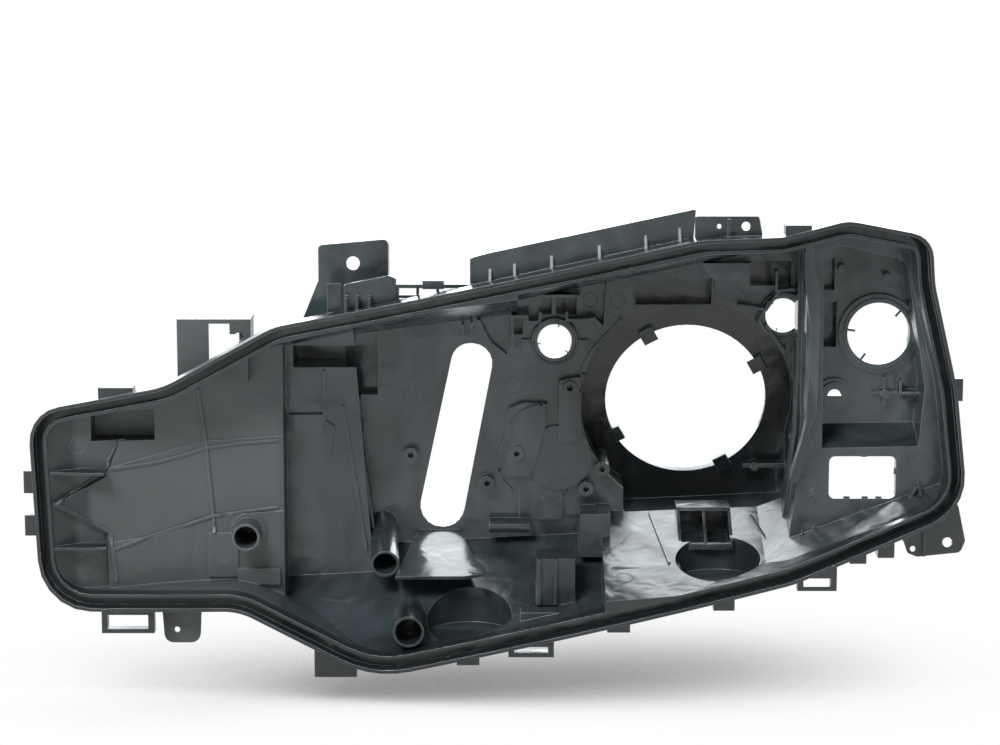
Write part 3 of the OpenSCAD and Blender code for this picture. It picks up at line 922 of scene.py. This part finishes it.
@dataclass
class LobeWall:
    """Ribs of the lobe's wall, where its facets were blended in the tool.

    Args:
        creases: the ribs' paths.
        front: thickness at the front.
        foot: thickness at the wall.
        height: how tall a rib's section is.
    """

    creases: tuple[Path, ...] = (
        ((-380, -88, -3.5), (-392.4, -89.5, -26.4), (-392, -90, -32), (-424.9, -105.6, -53),
         (-390.9, -94.5, -75.4), (-390.3, -94.5, -82.8), (-387, -94, -112.9)),
        ((-331.7, -84.6, 21.1), (-327, -85, -13.7), (-322.6, -86, -64.9), (-322, -87.8, -77)),
        ((-391, -92, -31.5), (-364.4, -88.9, -28.6), (-344.4, -86.5, -24.3),
         (-327.6, -85.8, -18.9), (-304.1, -85.8, -15.5), (-278.5, -85.8, -13.5)),
        ((-389, -89.9, -86.4), (-365.4, -89.1, -78.8), (-341.9, -87.3, -71.6),
         (-322.9, -87, -65.4), (-304.8, -85.8, -63), (-279.1, -85.8, -59.5)))
    front: float = 2.0
    foot: float = 0.7
    height: float = 1.6

    def build(self, plastic: bpy.types.Material, walls: Walls) -> None:
        """Draws the ribs on the wall."""
        ThinWalls("lobe_creases", plastic, self.creases, self.front, self.foot,
                  self.height).build(walls)


@dataclass
class RearWall:
    """Low walls beside the main port, and round the latch plate.

    Args:
        lines: the walls' paths.
        front: thickness at the front.
        foot: thickness at the rear wall.
        height: how tall a wall's section is.
    """

    lines: tuple[Path, ...] = (
        ((-45.7, -28, 60.4), (-57.3, -28, 48.5), (-67.6, -28, 36.7), (-73.5, -28, 24.1),
         (-74.4, -28, 0), (-74.2, -31.5, -22.3)),
        ((-98, -34, 1.4), (-106.8, -34, 0), (-115.7, -34, -4.2), (-122.6, -34, -13.3),
         (-124.2, -34, -23.9), (-128.2, -34, -34.4), (-130.2, -28, -46.3), (-127.4, -28, -53.4),
         (-121.2, -28, -60.4)))
    front: float = 1.4
    foot: float = 0.9
    height: float = 2.8

    def build(self, plastic: bpy.types.Material, walls: Walls) -> None:
        """Draws the low walls on the rear wall."""
        ThinWalls("rear_walls", plastic, self.lines, self.front, self.foot,
                  self.height).build(walls)


@dataclass
class SmallTabs:
    """Tabs in the connector window's frame, and two locating pegs.

    Args:
        tabs: the tabs: three below, one above and one at the right.
        pegs: the pegs, on the rear wall and on the right chamber's wall.
        peg_taper: share of a peg's width that is left at its top.
    """

    tabs: tuple[Nib, ...] = (Nib((104.7, -79.4, -53.6), (4.6, 1.5, 2.2)),
                             Nib((117.0, -79.4, -53.6), (4.6, 1.5, 2.2)),
                             Nib((126.3, -79.4, -53.6), (4.6, 1.5, 2.2)),
                             Nib((115.8, -79.4, -25.4), (4.6, 1.2, 2.2)),
                             Nib((136.6, -79.4, -36), (1.2, 4.6, 2.2)))
    pegs: tuple[Nib, ...] = (Nib((-71.9, -27.9, 20.8), (3.0, 3.0, 3.0)),
                             Nib((80.9, -83.9, -54.4), (3.0, 3.0, 3.0)))
    peg_taper: float = 0.8

    def build(self, plastic: bpy.types.Material) -> None:
        """Sets the tabs and the pegs."""
        Nibs("window_tabs", plastic, self.tabs).build()
        Nibs("pegs", plastic, self.pegs, NibForm.PEG, self.peg_taper).build()


@dataclass(frozen=True)
class SoftBox:
    """One soft box, aimed at the housing.

    Args:
        name: the lamp's name.
        place: where it hangs.
        size: width and height.
        power: in watts.
        target: the point it looks at.
    """

    name: str
    place: Place
    size: tuple[float, float]
    power: float
    target: Place = (-0.1, -0.05, 0)

    def build(self) -> None:
        """Hangs the lamp."""
        data = bpy.data.lights.new(self.name, "AREA")
        data.shape = "RECTANGLE"
        data.size, data.size_y = self.size
        data.energy = self.power
        lamp = bpy.data.objects.new(self.name, data)
        lamp.location = self.place
        way = Vector(self.target) - Vector(self.place)
        lamp.rotation_euler = way.to_track_quat("-Z", "Y").to_euler()
        bpy.context.scene.collection.objects.link(lamp)


@dataclass
class Studio:
    """White table, soft boxes and tent of a product photograph.

    Args:
        floor_z: height of the table.
        reach: half the table's side.
        table: how much light the table throws back.
        shadow_reach: how near the housing must be to darken the table.
        shadow_open: how open the table is where the shadow is darkest, and where it ends.
        shadow: the darkest that the table gets under it.
        tint: colour of the tent's light.
        behind: the tent's light before and behind the housing.
        above: light that is added towards the top.
        strip: light of the tall strips behind the camera.
        strip_waves: how close together they are: they are a sine of this times X.
        strip_shift: where the sine starts.
        boxes: the soft boxes.
    """

    floor_z: float = -0.178
    reach: float = 30.0
    table: float = 0.4
    shadow_reach: float = 0.22
    shadow_open: tuple[float, float] = (0.15, 0.88)
    shadow: float = 0.22
    tint: str = "#f1f8fa"
    behind: tuple[float, float] = (0.2, 6.5)
    above: float = 0.6
    strip: float = 2.6
    strip_waves: float = 22.0
    strip_shift: float = 0.6
    boxes: tuple[SoftBox, ...] = (
        SoftBox("top_box", (-0.2, -0.2, 1.7), (1.1, 0.8), 22),
        SoftBox("key_box", (-0.9, -1.5, 1.5), (0.8, 0.7), 70))

    def floor(self) -> None:
        """Adds the table, white to the camera but for the soft shadow under the housing."""
        mesh = bpy.data.meshes.new("table")
        r, z = self.reach, self.floor_z
        mesh.from_pydata([(-r, -r, z), (r, -r, z), (r, r, z), (-r, r, z)], [], [(0, 1, 2, 3)])
        table = bpy.data.objects.new("table", mesh)
        bpy.context.scene.collection.objects.link(table)
        material = bpy.data.materials.new("table_white")
        material.use_nodes = True
        tree = material.node_tree
        tree.nodes.clear()
        out = add_node(tree, "ShaderNodeOutputMaterial")
        felt = add_node(tree, "ShaderNodeBsdfDiffuse", values={"Color": grey(self.table)})
        clear = add_node(tree, "ShaderNodeAmbientOcclusion", {"samples": 8},
                         {"Distance": self.shadow_reach}).outputs["AO"]
        seen = add_node(tree, "ShaderNodeEmission", values={"Color": grey(1.0)},
                        links={"Strength": remap(tree, clear, *self.shadow_open, self.shadow)})
        seen_and_felt(tree, out, felt.outputs["BSDF"], seen.outputs["Emission"])
        mesh.materials.append(material)

    def sky(self) -> None:
        """Sets the tent: bright behind the housing, with tall strips behind the camera.

        The polished walls mirror the strips. The camera itself sees plain white.
        """
        world = bpy.data.worlds.new("surroundings")
        bpy.context.scene.world = world
        world.use_nodes = True
        tree = world.node_tree
        tree.nodes.clear()
        out = add_node(tree, "ShaderNodeOutputWorld")
        way = add_node(tree, "ShaderNodeTexCoord").outputs["Generated"]
        # Each runs from -1 to 1: Y is 1 beyond the housing, and Z is 1 overhead
        parts = add_node(tree, "ShaderNodeSeparateXYZ", links={0: way})
        behind = remap(tree, parts.outputs["Y"], -0.1, 0.8, *self.behind)
        above = remap(tree, parts.outputs["Z"], 0.0, 0.9, 0.0, self.above)
        wave = maths(tree, "SINE", maths(tree, "MULTIPLY_ADD", parts.outputs["X"],
                                         self.strip_waves, self.strip_shift))
        strips = maths(tree, "MULTIPLY", remap(tree, wave, 0.0, 0.8, 0.0, self.strip),
                       remap(tree, parts.outputs["Y"], -0.5, -0.9))
        low = maths(tree, "MULTIPLY", strips, remap(tree, parts.outputs["Z"], 0.35, 0.1))
        level = maths(tree, "ADD", maths(tree, "ADD", behind, above), low)
        felt = add_node(tree, "ShaderNodeBackground", values={"Color": linear(self.tint)},
                        links={"Strength": level})
        seen = add_node(tree, "ShaderNodeBackground", values={"Color": grey(1.0), "Strength": 1.0})
        seen_and_felt(tree, out, felt.outputs["Background"], seen.outputs["Background"])

    def build(self) -> None:
        """Adds the table, the tent and the soft boxes."""
        self.floor()
        self.sky()
        for box in self.boxes:
            box.build()
        log.info("studio: %d soft boxes", len(self.boxes))


@dataclass(frozen=True)
class PhotoCamera:
    """The photograph's viewpoint.

    Args:
        place: the lens's place.
        elevation: degrees that it looks down.
        lens: focal length for the sensor's width.
        sensor: the sensor's width in millimetres.
    """

    place: Place = (-0.1295, -1.96664, 0.36419)
    elevation: float = 10.0
    lens: float = 102.86
    sensor: float = 36.0

    def build(self) -> None:
        """Adds the camera and makes it the scene's."""
        data = bpy.data.cameras.new("photo_camera")
        data.sensor_width = self.sensor
        data.lens = self.lens
        data.dof.use_dof = False
        camera = bpy.data.objects.new("photo_camera", data)
        camera.location = self.place
        camera.rotation_euler = (math.radians(90 - self.elevation), 0, 0)
        scene = bpy.context.scene
        scene.collection.objects.link(camera)
        scene.camera = camera
        scene.view_settings.view_transform = "Standard"
        log.info("camera: %.2f mm lens, %.0f degrees down", self.lens, self.elevation)


def main() -> None:
    """Builds and dresses the whole scene."""
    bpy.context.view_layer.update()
    node = Bucket().dress()
    plastic = node.data.materials[0]
    walls = Walls(node)
    ports = LampPorts()
    EjectorPins().build(plastic, walls)
    ports.build_lips(plastic, walls)
    LobeWall().build(plastic, walls)
    RearWall().build(plastic, walls)
    ports.build_ribs(plastic)
    SmallTabs().build(plastic)
    Studio().build()
    PhotoCamera().build()


if __name__ == "__main__":
    main()
